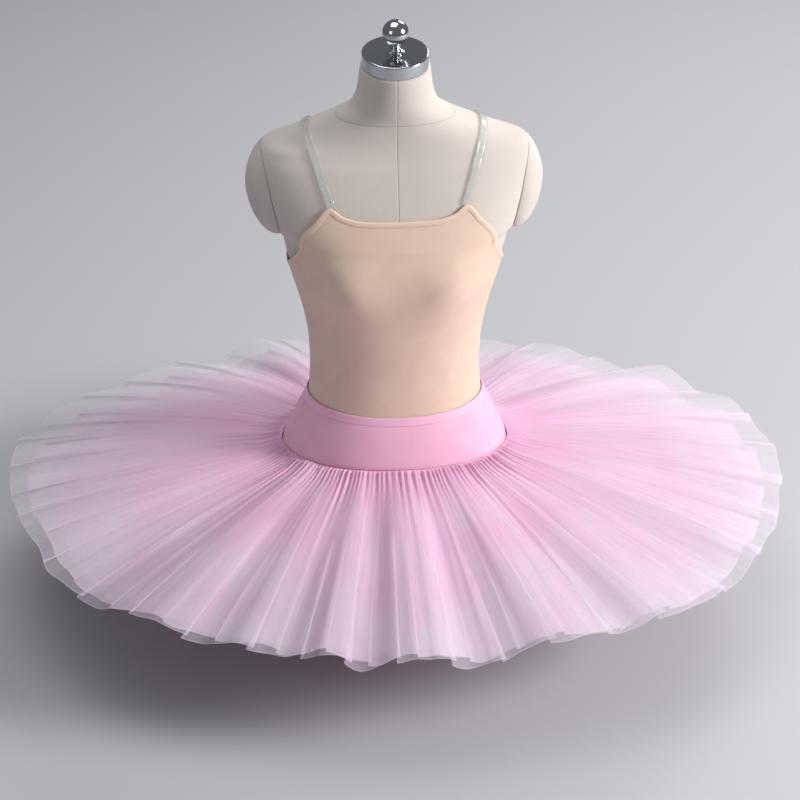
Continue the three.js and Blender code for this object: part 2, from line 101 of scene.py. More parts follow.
# Sections of the form: height, half width, front, back, middle, power of the rounded ring.
FORM = np.array([
    (10, 150, 96, 106, 0, 2.2), (40, 160, 102, 116, 0, 2.2), (116, 171, 108, 124, 0, 2.2),
    (180, 166, 108, 117, 0, 2.2), (237, 153, 105, 102, 0, 2.2), (280, 135, 95, 89, 0, 2.2),
    (316, 119, 85, 80, 0, 2.2), (360, 116.5, 84, 80, 0, 2.2), (400, 118, 87, 84, 0, 2.2),
    (441, 124.5, 92, 89, 0, 2.25), (500, 140, 101, 95, 0, 2.35), (540, 151, 103, 98, 0, 2.5),
    (569, 158, 101, 99, 0, 2.6), (578, 166, 99, 99, 0, 2.65), (598, 175, 94, 98, 0, 2.75),
    (640, 186, 82, 94, 0, 2.8), (672, 191, 70, 88, 0, 2.7), (692, 186, 60, 80, 0, 2.5),
    (707, 153, 55, 73, -1, 2.3), (723, 117, 52, 65, -3, 2.2), (740, 83, 50, 56, -6, 2.1),
    (757, 60, 50, 50, -11, 2), (778, 52, 48, 48, -15, 2), (812, 47.5, 47, 47, -18, 2),
])
SEAM_LOW, SEAM_HIGH = (158, 569), (184, 692)
SEAM_LEAN = (SEAM_HIGH[0] - SEAM_LOW[0]) / (SEAM_HIGH[1] - SEAM_LOW[1])
# The bodice's top edge: angle from centre front, height.
BODICE_TOP = np.array([
    (0, 611), (9, 612.5), (17, 619), (22.5, 630), (32, 610), (44, 588), (62, 551),
    (90, 524), (115, 526), (138, 549), (153, 570), (163, 556), (180, 550),
])
# The brief, front or back: height, half its width as an angle.
BRIEF_HALF = np.array([
    (10, 16), (40, 22), (78, 35), (116, 57), (132, 68), (150, 79), (180, 89.9), (236.7, 89.9),
])
# How much further the net's edge hangs: angle from centre front, fall.
EXTRA_FALL = np.array([(0, 12), (50, 4), (90, 0), (120, 26), (150, 44), (180, 22)])

# ---------------------------------------------------------------- curves and sections


def along(table, column, x):
    """Smooth curve through a table's rows: a cubic between rows, whose slope at a row is the
    harmonic mean of the slopes on its two sides, or nothing where they differ in sign."""
    keys = table[:, 0]
    values = table[:, column]
    slope = np.diff(values) / np.diff(keys)
    before = slope[:-1]
    after = slope[1:]
    total = np.where(before + after == 0, 1.0, before + after)
    inner = np.where(before * after > 0, 2 * before * after / total, 0.0)
    tangent = np.concatenate([slope[:1], inner, slope[-1:]])
    x = np.clip(x, keys[0], keys[-1])
    i = np.clip(np.searchsorted(keys, x) - 1, 0, len(keys) - 2)
    span = keys[i + 1] - keys[i]
    t = (x - keys[i]) / span
    s = 1 - t
    low = values[i] * s * s * (1 + 2 * t) + tangent[i] * span * t * s * s
    return low + values[i + 1] * t * t * (1 + 2 * s) - tangent[i + 1] * span * s * t * t


def bell(x):
    """Smooth hump: 1 at the middle, e to the minus x squared away from it."""
    return np.exp(-x * x)


def rounded(value, power):
    """Keeps the sign and raises the size to 2 over the power, for a superellipse."""
    return np.sign(value) * np.abs(value) ** (2 / power)


def form_point(z, angle, out=0.0):
    """Point on the form at a height and an angle from centre front, moved outwards: a superellipse
    whose half width, front and back come from the sections, with a soft hump for each bust."""
    z, angle, out = np.broadcast_arrays(np.asarray(z, float), np.asarray(angle, float), out)
    turn = (angle + 540) % 360 - 180
    power = along(FORM, 5, z)
    across = rounded(np.sin(np.radians(turn)), power)
    ahead = rounded(np.cos(np.radians(turn)), power)
    busts = bell((turn - BUST_ANGLE) / BUST_SPREAD) + bell((turn + BUST_ANGLE) / BUST_SPREAD)
    chest = BUST_FULL * busts * bell((z - BUST_HEIGHT) / BUST_TALL)
    depth = np.where(ahead > 0, along(FORM, 2, z) + chest, along(FORM, 3, z))
    x = (along(FORM, 1, z) + out) * across
    y = along(FORM, 4, z) - (depth + out) * ahead
    return np.stack([x, y, z], axis=-1)


def unit(v):
    """Each vector over its own length."""
    return v / np.linalg.norm(v, axis=-1, keepdims=True)


def form_normal(z, angle):
    """Outward normal of the form, from two short steps on it."""
    up = form_point(z + 0.5, angle) - form_point(z - 0.5, angle)
    across = form_point(z, angle + 0.25) - form_point(z, angle - 0.25)
    return unit(np.cross(across, up))


def seam_x(z):
    """Where the plane of a shoulder seam stands at a height."""
    return SEAM_LOW[0] + SEAM_LEAN * (z - SEAM_LOW[1])


def bodice_top(angle):
    """Height of the bodice's top edge at an angle."""
    return along(BODICE_TOP, 1, np.abs((np.asarray(angle) + 540) % 360 - 180))


# ---------------------------------------------------------------- meshes


def surface(name, points, material, ring=False, poles=False, wall=0.0, rows_at=None):
    """A piece from a grid of points in millimetres. Rows run up and columns anticlockwise, so the
    faces look outwards. The map holds the share of the way along the columns and rows."""
    rows, columns = points.shape[:2]
    index = np.arange(rows * columns).reshape(rows, columns)
    left = index if ring else index[:, :-1]
    right = np.roll(index, -1, axis=1) if ring else index[:, 1:]
    quads = np.stack([left[:-1], right[:-1], right[1:], left[1:]], axis=-1)
    places = points.reshape(-1, 3) * MM + SHIFT
    mesh = bpy.data.meshes.new(name)
    mesh.from_pydata(places.tolist(), [], quads.reshape(-1, 4).tolist())
    spans = left.shape[1]
    v = np.linspace(0, 1, rows) if rows_at is None else rows_at
    u = np.linspace(0, 1, spans + 1)
    shape = (rows - 1, spans)
    u_left, u_right = np.broadcast_to(u[:-1], shape), np.broadcast_to(u[1:], shape)
    v_low, v_high = np.broadcast_to(v[:-1, None], shape), np.broadcast_to(v[1:, None], shape)
    corners = [(u_left, v_low), (u_right, v_low), (u_right, v_high), (u_left, v_high)]
    shares = np.stack([np.stack(pair, axis=-1) for pair in corners], axis=2)
    layer = mesh.uv_layers.new(name=UV_NAME)
    layer.data.foreach_set("uv", shares.astype(np.float32).ravel())
    if poles:
        closed = bmesh.new()
        closed.from_mesh(mesh)
        bmesh.ops.remove_doubles(closed, verts=closed.verts, dist=1e-6)
        closed.to_mesh(mesh)
        closed.free()
    mesh.polygons.foreach_set("use_smooth", np.ones(len(mesh.polygons), bool))
    mesh.materials.append(material)
    piece = bpy.data.objects.new(name, mesh)
    bpy.context.scene.collection.objects.link(piece)
    if wall:
        shell = piece.modifiers.new("wall", "SOLIDIFY")
        shell.thickness = wall * MM
        shell.offset = -1
    return piece


def place(piece, node):
    """The piece stands for a node of the frame: it hangs under the root, and the node's own part is
    hidden.
    """
    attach(piece, "root")
    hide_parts(node)
    return piece


# ---------------------------------------------------------------- materials


def tone(red, green, blue):
    """A screen colour of 0 to 255 as the linear colour that a shader takes."""
    screen = np.array([red, green, blue]) / 255
    linear = np.where(screen > 0.04, ((screen + 0.055) / 1.055) ** 2.4, screen / 12.92)
    return (*linear.tolist(), 1.0)


class Wire:
    """One socket of a material's tree. Sums, differences, products and powers of wires add Math
    nodes."""

    def __init__(self, tree, socket=None):
        self.tree = tree
        self.socket = socket

    def node(self, kind, settings=None, inputs=None, output=0):
        """Adds a node: its settings first, then the values or wires of its sockets."""
        made = self.tree.nodes.new(kind)
        for key, value in (settings or {}).items():
            setattr(made, key, value)
        for key, value in (inputs or {}).items():
            if isinstance(value, Wire):
                self.tree.links.new(value.socket, made.inputs[key])
            else:
                made.inputs[key].default_value = value
        return Wire(self.tree, None if output is None else made.outputs[output])

    def output(self, key):
        """Another output of the same node."""
        return Wire(self.tree, self.socket.node.outputs[key])

    def maths(self, operation, first, second=0.0):
        """A Math node on two values, or on one that it takes alone."""
        return self.node("ShaderNodeMath", {"operation": operation}, {0: first, 1: second})

    def __add__(self, other):
        return self.maths("ADD", self, other)

    def __radd__(self, other):
        return self.maths("ADD", other, self)

    def __sub__(self, other):
        return self.maths("SUBTRACT", self, other)

    def __rsub__(self, other):
        return self.maths("SUBTRACT", other, self)

    def __mul__(self, other):
        return self.maths("MULTIPLY", self, other)

    def __rmul__(self, other):
        return self.maths("MULTIPLY", other, self)

    def __pow__(self, other):
        return self.maths("POWER", self, other)

    def between(self, low, high):
        """0 up to the low value and 1 from the high one, with a soft step between them."""
        values = {"Value": self, "From Min": low, "From Max": high}
        return self.node("ShaderNodeMapRange", {"interpolation_type": "SMOOTHSTEP"}, values)

    def noise(self, scale, detail=2.0, vector=None):
        """Soft noise of 0 to 1 on a vector, or on the object's own place in metres."""
        if vector is None:
            vector = self.node("ShaderNodeTexCoord", output="Object")
        values = {"Vector": vector, "Scale": scale, "Detail": detail}
        return self.node("ShaderNodeTexNoise", {}, values)

    def mix(self, share, first, second):
        """A colour between two, by a share."""
        values = {0: share, 6: first, 7: second}
        return self.node("ShaderNodeMix", {"data_type": "RGBA"}, values, output=2)

    def vector(self, x, y, z=0.0):
        """Three values as one vector."""
        return self.node("ShaderNodeCombineXYZ", {}, {0: x, 1: y, 2: z})

    def bump(self, height, distance, strength=1.0):
        """A normal from a height of 0 to 1 and the depth it stands for, in metres."""
        values = {"Height": height, "Distance": distance, "Strength": strength}
        return self.node("ShaderNodeBump", {}, values)


def finish_of(name, build):
    """A material whose Principled sockets take what build gives: constants or wires."""
    material = bpy.data.materials.new(name)
    material.use_nodes = True
    tree = material.node_tree
    tree.nodes.clear()
    wires = Wire(tree)
    shader = wires.node("ShaderNodeBsdfPrincipled", {}, build(wires))
    wires.node("ShaderNodeOutputMaterial", {}, {"Surface": shader}, output=None)
    return material


def on_cloth(wires):
    """The share of the way along the columns and rows of the piece."""
    across = wires.node("ShaderNodeUVMap", {"uv_map": UV_NAME})
    parts = wires.node("ShaderNodeSeparateXYZ", {}, {0: across})
    return parts, parts.output(1)


THREADS = 3900  # radians of the net's slanting threads to a metre, 1.6 mm apart


def tulle(name, cut, reach, density, paleness):
    """Sheer net: open at its edge, closer and pinker where the gathers crowd it, with long streaks
    where threads bunch, a fine net and a thicker cut edge."""

    def build(wires):
        u, v = on_cloth(wires)
        across = u * cut
        down = v * reach
        fine = wires.noise(1.0, 3.0, wires.vector(across * 150, down * 7))
        broad = wires.noise(1.0, 3.0, wires.vector(across * 34, down * 4, 3.0))
        cloud = wires.noise(9.0, 3.0)
        net = wires.maths("SINE", (across + down) * THREADS)
        net = net + wires.maths("SINE", (across - down) * THREADS)
        ply = density * (0.46 + fine * 0.46 + broad * 0.62) + net * 0.02
        crowd = 1.0 + (1.0 - v) ** 1.7 * 2.4
        edge = v.between(0.992, 0.997) * 0.10
        alpha = 1.0 - (1.0 - ply - edge) ** crowd
        depth = (1.0 - v) ** 0.9 * 0.85 + (cloud - 0.5) * 0.9 + (broad - 0.5) * 0.8
        pink = depth.between(-0.20, 1.05)
        colour = wires.mix(pink, tone(*paleness), tone(234, 180, 216))
        colour = wires.mix((fine - 0.42) * 0.5, colour, tone(248, 228, 242))
        return {
            "Base Color": colour,
            "Alpha": wires.maths("MINIMUM", alpha, 1.0),
            "Roughness": 0.7,
            "Sheen Weight": 0.25,
            "Sheen Roughness": 0.5,
            "Normal": wires.bump(fine * 0.6 + broad * 0.6, 0.0012, 0.45),
        }

    return finish_of(name, build)


def jersey(name, colour, deep, seam_at=None, edge_at=None):
    """Knitted jersey: fine ribs of stitches, faint mottling, a soft sheen, a dashed line of
    stitching where a fold or hem is sewn down over a painted shade along its groove, a painted
    highlight on the band above it, and a pale margin where one side is left open."""

    def build(wires):
        u, v = on_cloth(wires)
        mottle = wires.noise(38.0, 4.0)
        knit = wires.noise(1400.0, 1.0)
        ribs = wires.maths("SINE", u * 2600) * 0.5 + wires.maths("SINE", v * 1900) * 0.3
        base = wires.mix(mottle.between(0.3, 0.75) * 0.55, tone(*colour), tone(*deep))
        height = knit * 0.5 + ribs * 0.08
        if seam_at:
            line = 1.0 - wires.maths("ABSOLUTE", v - seam_at).between(0.004, 0.012)
            # Painted shade: a faint dark line runs all along the seam's groove, and the stitches'
            # dashes are darker on it.
            dash = wires.maths("SINE", u * 900).between(-0.5, 0.1)
            base = wires.mix(line * (0.10 + dash * 0.22), base, tone(*[c * 0.86 for c in deep]))
            # Painted highlight: the band above the seam, which stands proud, is made lighter than the
            # rest.
            raised_band_highlight = v.between(seam_at, seam_at + 0.012)
            base = wires.mix(raised_band_highlight * 0.38, base, tone(*[min(255, c * 1.07) for c in colour]))
            height = height - line * 1.2
        if edge_at:
            margin = 1.0 - u.between(edge_at[0], edge_at[1])
            base = wires.mix(margin * 0.65, base, tone(250, 226, 238))
        return {
            "Base Color": base,
            "Roughness": 0.62 + mottle * 0.12,
            "Sheen Weight": 0.35,
            "Sheen Roughness": 0.4,
            "Normal": wires.bump(height, 0.0004, 0.5),
        }

    return finish_of(name, build)


NECK_SEAM_HEIGHT, NECK_SEAM_SLOPE = 0.742, 0.10  # metres at the form's middle, rise towards the back


def cover():
    """Off-white woven cover: crossed threads, faint dust and slubs, and sewn seams down the centre
    and round the root of the neck."""

    def build(wires):
        spot = wires.node("ShaderNodeTexCoord", output="Object")
        parts = wires.node("ShaderNodeSeparateXYZ", {}, {0: spot})
        x = parts - float(SHIFT[0])
        y = parts.output(1) - float(SHIFT[1])
        z = parts.output(2)
        cloud = wires.noise(7.0, 4.0)
        slub = wires.noise(1.0, 2.0, wires.vector(x * 900, y * 900, z * 90))
        weave = wires.maths("SINE", (x + y) * 5200) * 0.5 + wires.maths("SINE", z * 5200) * 0.5
        seam = 1.0 - wires.maths("ABSOLUTE", x).between(0.0003, 0.0014)
        root = z - (NECK_SEAM_HEIGHT + y * NECK_SEAM_SLOPE)
        ring = 1.0 - wires.maths("ABSOLUTE", root).between(0.0004, 0.0016)
        sewn = wires.maths("MAXIMUM", seam, ring)
        base = wires.mix(cloud.between(0.25, 0.8), tone(212, 202, 195), tone(198, 188, 182))
        base = wires.mix(slub.between(0.55, 0.8) * 0.25, base, tone(232, 222, 212))
        base = wires.mix(sewn * 0.24, base, tone(156, 145, 139))
        return {
            "Base Color": base,
            "Roughness": 0.82 + slub * 0.1,
            "Sheen Weight": 0.15,
            "Normal": wires.bump(weave * 0.2 + slub * 0.5 - sewn * 1.4, 0.0005, 0.6),
        }

    return finish_of("woven cover", build)


def steel():
    """Polished steel, with fine turning marks and a few faint smears."""

    def build(wires):
        spot = wires.node("ShaderNodeTexCoord", output="Object")
        parts = wires.node("ShaderNodeSeparateXYZ", {}, {0: spot})
        rings = wires.vector(parts * 20, parts.output(1) * 20, parts.output(2) * 3000)
        marks = wires.noise(1.0, 3.0, rings)
        smear = wires.noise(45.0, 3.0)
        metal = wires.mix(smear.between(0.4, 0.7) * 0.3, tone(196, 198, 202), tone(170, 173, 178))
        return {
            "Base Color": metal,
            "Metallic": 1.0,
            "Roughness": 0.07 + marks * 0.07 + smear * 0.05,
            "Normal": wires.bump(marks, 0.00005, 0.3),
        }

    return finish_of("polished steel", build)


def clear_plastic():
    """Clear soft plastic: mostly see-through, glossy, with a milky edge and a faint haze."""

    def build(wires):
        v = on_cloth(wires)[1]
        haze = wires.noise(120.0, 3.0)
        rim = wires.maths("ABSOLUTE", v - 0.5).between(0.24, 0.42)
        return {
            "Base Color": wires.mix(haze, tone(226, 228, 222), tone(206, 210, 204)),
            "Alpha": 0.26 + rim * 0.34 + haze * 0.12,
            "Roughness": 0.14 + haze * 0.12,
            "Coat Weight": 0.6,
            "Normal": wires.bump(haze, 0.0004, 0.3),
        }

    return finish_of("clear plastic", build)


def rubber():
    """Black rubber with a fine grain and pale dust."""

    def build(wires):
        grain = wires.noise(900.0, 2.0)
        dust = wires.noise(60.0, 4.0)
        return {
            "Base Color": wires.mix(dust.between(0.5, 0.8) * 0.4, tone(40, 40, 42), tone(92, 90, 88)),
            "Roughness": 0.7 + grain * 0.2,
            "Normal": wires.bump(grain, 0.0003, 0.5),
        }

    return finish_of("rubber", build)


COVER = cover()
STEEL = steel()
PLASTIC = clear_plastic()
RUBBER = rubber()
NUDE = jersey("nude jersey", (226, 201, 181), (218, 189, 168))
BINDING = jersey("nude binding", (226, 199, 178), (214, 184, 162), seam_at=0.30)
PINK = jersey("pink jersey", (240, 184, 210), (233, 171, 201), CASING_AT, (0.004, 0.012))
BRIEF = jersey("pink brief", (243, 176, 203), (234, 160, 190))

# ---------------------------------------------------------------- dress form


def leaning(points):
    """Tips the top of the neck down towards the front, more and more from its root up."""
    lean = np.tan(NECK_TILT) * np.clip((points[..., 2] - NECK_ROOT) / (NECK_TOP - NECK_ROOT), 0, None)
    points[..., 2] += lean * (points[..., 1] - NECK_CENTRE)
    return points


def torso_grid():
    """Rings up the form, cut flat at the shoulder seams, closed at its base and at the neck top."""
    z = np.concatenate([np.linspace(BASE, 560, 90), np.linspace(563, NECK_TOP, 84)])[:, None]
    points = form_point(z, np.linspace(0, 360, 240, endpoint=False)[None, :])
    limit = np.where(z >= SEAM_LOW[1], seam_x(z), 1e3)
    points[..., 0] = np.clip(points[..., 0], -limit, limit)
    points = leaning(points)
    base = np.broadcast_to([0.0, 0.0, float(BASE)], (1, 240, 3))
    lid = np.broadcast_to([0.0, NECK_CENTRE, NECK_TOP], (1, 240, 3))
    return np.concatenate([base, points, lid])


def cap_grid(side):
    """Dome on the outline that the seam plane cuts from the torso: rings shrink to its middle by
    the cosine and swell along its normal by a power of the sine."""
    z = np.linspace(SEAM_LOW[1] + 1, SEAM_HIGH[1], 44)
    power = along(FORM, 5, z)
    share = np.minimum(1, seam_x(z) / along(FORM, 1, z))
    depth = (1 - share ** power) ** (1 / power)
    front = np.stack([seam_x(z), -along(FORM, 2, z) * depth, z], axis=-1)
    back = np.stack([seam_x(z), along(FORM, 3, z) * depth, z], axis=-1)[::-1]
    outline = np.concatenate([front, back])
    middle = np.array([seam_x(CAP_Z), CAP_Y, CAP_Z])
    normal = unit(np.array([1, 0, -SEAM_LEAN]))
    high = np.clip((outline[:, 2] - middle[2]) / (SEAM_HIGH[1] - middle[2]), 0, None)
    turn = np.radians(np.linspace(0, 90, 26))[:, None]
    reach = GAP + CAP_BULGE * np.sin(turn) ** (1 + CAP_SLOPE * high)
    rings = middle + (outline - middle) * np.cos(turn)[..., None] + normal * reach[..., None]
    rings[-1] = middle + normal * (GAP + CAP_BULGE)
    root = np.broadcast_to(middle + normal * GAP, (1, len(outline), 3))
    grid = np.concatenate([root, rings])
    if side < 0:
        return grid * np.array([-1, 1, 1])
    return grid[:, ::-1]


def turned(profile, lift=0.0, columns=96):
    """A profile of radius and height turned about the neck's sloping axis."""
    profile = np.array(profile, float)
    turn = np.linspace(0, 2 * np.pi, columns, endpoint=False)
    x = profile[:, :1] * np.sin(turn)
    y = -profile[:, :1] * np.cos(turn)
    z = np.broadcast_to(profile[:, 1:] + lift, x.shape)
    level = y * math.cos(NECK_TILT) - z * math.sin(NECK_TILT)
    upright = y * math.sin(NECK_TILT) + z * math.cos(NECK_TILT)
    return np.stack([x, level + NECK_CENTRE, upright + NECK_TOP], axis=-1)


def finial_profile():
    """A flared foot, a short stem and a ball, as one turned profile."""
    flare = np.radians(np.linspace(0, 90, 14))
    inwards = STEM_FOOT - (STEM_FOOT - STEM) * np.sin(flare)
    foot = np.stack([inwards, 1.1 + (STEM_FOOT - STEM) * (1 - np.cos(flare))], axis=-1)
    turn = np.linspace(math.asin(0.9 * STEM / BALL), np.pi, 40)
    ball = np.stack([BALL * np.sin(turn), BALL_LIFT - BALL * np.cos(turn)], axis=-1)
    base = [(0, GAP), (STEM_FOOT - 0.1, GAP), (STEM_FOOT, 0.4), (STEM_FOOT, 1.0)]
    neck = [(STEM, 9.0), (5.9, 10.4), (5.5, 11.4)]
    return [*base, *foot, *neck, *ball[:-1], (0, BALL_LIFT + BALL)]


# The steel cap's side, softly broken edge and flat top, as radius and height.
STEEL_CAP = [
    (0, GAP), (45.3, GAP), (STEEL_RIM, 0.5), (STEEL_RIM, 3), (STEEL_RIM, 16), (STEEL_RIM, 18.6),
    (45.3, 19.2), (44.8, 19.7), (44.2, STEEL_HEIGHT), (44.0, STEEL_HEIGHT), (40, STEEL_HEIGHT),
    (0, STEEL_HEIGHT),
]
torso = surface("torso", torso_grid(), COVER, ring=True, poles=True)
place(torso, "form_torso")
for side, node in ((-1, "form_cap_left"), (1, "form_cap_right")):
    piece = surface(node.replace("form_", "shoulder_"), cap_grid(side), COVER, ring=True, poles=True)
    place(piece, node)
steel_cap = surface("steel_cap", turned(STEEL_CAP), STEEL, ring=True, poles=True)
place(steel_cap, "neck_cap")
finial_grid = turned(finial_profile(), STEEL_HEIGHT)
ball_finial = surface("ball_finial", finial_grid, STEEL, ring=True, poles=True)
place(ball_finial, "finial")
for k in (1, 2, 3, 4):
    for material_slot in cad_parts[f"foot_{k}"].material_slots:
        material_slot.material = RUBBER

# ---------------------------------------------------------------- bodice

# Soft creases in the bodice: angle, height, half spread in degrees and millimetres, depth, slope.
BODICE_CREASES = [
    (-70, 352, 16, 5, 0.5, 0.5), (-62, 372, 20, 6, -0.5, 0.4), (72, 348, 18, 5, 0.5, -0.5),
    (64, 366, 15, 6, -0.4, -0.3), (-48, 330, 22, 5, 0.4, 0.2), (40, 332, 20, 5, 0.4, -0.2),
    (-66, 470, 13, 9, -0.7, 1.1), (67, 474, 12, 9, -0.7, -1.1), (-80, 505, 9, 8, 0.5, 1.4),
    (80, 500, 9, 8, 0.5, -1.4), (0, 560, 15, 12, -0.6, 0.0), (120, 360, 22, 6, 0.5, 0.4),
    (-128, 350, 20, 5, -0.5, -0.4), (160, 340, 16, 5, 0.4, 0.2), (-165, 372, 18, 6, 0.4, -0.2),
    (180, 480, 12, 16, -0.5, 0.0), (140, 470, 12, 12, 0.5, 0.8), (-142, 462, 13, 12, 0.5, -0.8),
]


def creased(z, angle, creases):
    """Sum of long soft bells, each slanted by its own slope of height against angle."""
    depth = np.zeros(np.broadcast(z, angle).shape)
    for at, height, wide, tall, amount, slope in creases:
        turn = (angle - at + 540) % 360 - 180
        depth += amount * bell(turn / wide) * bell((z - height - slope * turn) / tall)
    return depth


def bodice_grid(turn, out):
    """Rows fan from the hem up to the shaped top edge, on the form's surface."""
    angle = turn + np.linspace(-SEAM_ANGLE, SEAM_ANGLE, 200)[None, :]
    share = np.linspace(0, 1, 110)[:, None]
    z = BODICE_HEM + (bodice_top(angle) - BODICE_HEM) * share
    fold = creased(z, angle, BODICE_CREASES) * (share < 0.97)
    return form_point(z, angle, out + fold)


for node, turn in (("bodice_front", 0), ("bodice_back", 180)):
    piece = surface(node + "_jersey", bodice_grid(turn, BODICE_OUT), NUDE, wall=BODICE_WALL)
    place(piece, node)
    bodice_grid(turn, BODICE_OUT - BODICE_WALL / 2)

# The binding's section: how far below the edge, and how far out of the form.
BINDING_SECTION = [
    (7.1, 3.66), (6.9, 3.95), (6.2, 4.2), (5.3, 4.1), (4.8, 4.2), (2.6, 4.4), (0.7, 4.3),
    (-0.3, 3.9), (-0.6, 3.1), (-0.3, 2.3), (0.6, 1.8), (3.0, 1.7),
]


def binding_grid():
    """The binding's section carried round the bodice's top edge, folded over it."""
    angle = np.linspace(0, 360, 720, endpoint=False)
    edge = form_point(bodice_top(angle), angle)
    after = form_point(bodice_top(angle + 1), angle + 1)
    before = form_point(bodice_top(angle - 1), angle - 1)
    edgeway = unit(after - before)
    inwards = unit(np.cross(form_normal(bodice_top(angle), angle), edgeway))
    rows = []
    for down, out in BINDING_SECTION:
        normal = form_normal(bodice_top(angle) - max(down, 0), angle)
        rows.append(edge - inwards * down + normal * out)
    return np.array(rows)


loop = binding_grid()
binding = surface("bodice_edge_binding", loop, BINDING, ring=True)
place(binding, "bodice_binding")


def strap_path(side, steps=70):
    """From the ridge of the shoulder down to the front and back strap points, by a square law."""
    levels = np.linspace(SEAM_HIGH[1], NECK_ROOT, 600)
    ridge = np.interp(-STRAP_SHOULDER, -along(FORM, 1, levels), levels)
    k = np.linspace(-1, 1, 2 * steps + 1)
    front = k < 0
    end = np.where(front, bodice_top(STRAP_ANGLE), bodice_top(BACK_STRAP_ANGLE)) + GAP
    x = STRAP_SHOULDER + (np.where(front, STRAP_FRONT, STRAP_BACK) - STRAP_SHOULDER) * k * k
    z = ridge - (ridge - end) * k * k
    share = np.minimum(1, x / along(FORM, 1, z))
    turn = np.degrees(np.arcsin(share ** (along(FORM, 5, z) / 2)))
    angle = side * np.where(front, turn, 180 - turn)
    return form_point(z, angle), form_normal(z, angle)


# The strap's section: across, and out from its inner face.
STRAP_SECTION = [
    (-5.2, 0.1), (-STRAP_HALF, 0.5), (-5.2, 0.9), (-2, STRAP_WALL), (2, STRAP_WALL),
    (5.2, 0.9), (STRAP_HALF, 0.5), (5.2, 0.1), (0, 0.0),
]


def strap_grid(side):
    """A flat strip with rounded edges carried along the strap's path."""
    point, normal = strap_path(side)
    step = np.gradient(point, axis=0)
    across = unit(np.cross(normal, unit(step)))
    rows = [point + across * a + normal * (STRAP_OUT + h) for a, h in STRAP_SECTION]
    return np.array(rows + rows[:1])


for side, node in ((-1, "strap_left"), (1, "strap_right")):
    piece = surface(node + "_plastic", strap_grid(side), PLASTIC, poles=True)
    place(piece, node)

# ---------------------------------------------------------------- basque and brief

BASQUE_CREASES = [
    (-74, 262, 9, 9, 0.5, 1.2), (-60, 286, 12, 6, -0.35, 0.6), (66, 270, 12, 8, 0.4, -0.9),
    (-20, 298, 16, 4, -0.25, 0.1), (28, 292, 18, 5, -0.3, -0.1), (150, 280, 16, 8, 0.4, 0.6),
    (-150, 268, 15, 8, 0.4, -0.7), (180, 290, 20, 5, -0.3, 0.0),
]


def basque_grid(turn, out):
    """Rows from the hip seam to the waist, with a casing that stands proud under its top edge and
    a hem that rolls in; the front's edge lifts off the placket at the side."""
    angle = turn + np.linspace(-SEAM_ANGLE, SEAM_ANGLE, 180)[None, :]
    share = np.linspace(0, 1, 64)[:, None]
    top = WAIST_HEIGHT - BASQUE_DIP * np.cos(np.radians(angle)) ** 2
    z = BASQUE_HEM + (top - BASQUE_HEM) * share
    casing = 0.35 * np.clip((share - CASING_AT) / 0.02, 0, 1)
    groove = -0.25 * bell((share - CASING_AT + 0.003) / 0.012)
    roll = -0.4 * bell(share / 0.03) - 0.5 * bell((1 - share) / 0.015)
    lift = 1.9 * bell((angle + 89.9) / 2.0) * np.sin(np.pi * share) ** 0.7 if turn == 0 else 0.0
    crease = creased(z, angle, BASQUE_CREASES)
    return form_point(z, angle, out + casing + groove + roll + lift + crease)


def brief_grid(turn, out):
    """Rows down the form that narrow to the leg edges, then under its base to the crotch seam."""
    u = np.linspace(-1, 1, 90)[None, :]
    z = np.linspace(BASQUE_HEM - GAP, BASE, 46)[:, None]
    side = form_point(z, turn + u * along(BRIEF_HALF, 1, z), out)
    side[-1, :, 2] -= out
    ahead = -1 if turn == 0 else 1
    seam = np.full(90, ahead * GAP / 2)
    crotch = np.stack([-ahead * u[0] * GUSSET_HALF, seam, np.full(90, BASE - out)], axis=-1)
    share = np.linspace(0, 1, 10)[1:, None, None]
    under = side[-1] * (1 - share) + crotch * share
    return np.concatenate([side, under])[::-1]


for node, turn in (("basque_front", 0), ("basque_back", 180)):
    piece = surface(node + "_jersey", basque_grid(turn, BASQUE_OUT), PINK, wall=BASQUE_WALL)
    place(piece, node)
    basque_grid(turn, BASQUE_OUT - BASQUE_WALL / 2)
for node, turn in (("brief_front", 0), ("brief_back", 180)):
    piece = surface(node + "_jersey", brief_grid(turn, BRIEF_OUT), BRIEF, wall=BRIEF_WALL)
    place(piece, node)
    brief_grid(turn, BRIEF_OUT - BRIEF_WALL / 2)

# ---------------------------------------------------------------- tulle

# Rows of net from the top: where it is sewn, reach, droop, the width it is cut to in
# metres (less than the length of the modelled hem), columns, rows, how dense one ply is, and the
# colour of its edge.
FRILLS = [
    (232, 392, 52, 3.20, 1800, 44, 0.31, (226, 216, 230)),
    (224, 364, 56, 3.00, 1440, 34, 0.62, (232, 216, 232)),
    (216, 336, 60, 2.75, 1200, 30, 0.60, (234, 212, 231)),
    (208, 300, 62, 2.50, 960, 26, 0.62, (238, 204, 229)),
    (200, 262, 62, 2.25, 840, 24, 0.66, (238, 200, 228)),
    (192, 222, 60, 2.00, 720, 20, 0.65, (238, 200, 226)),
]

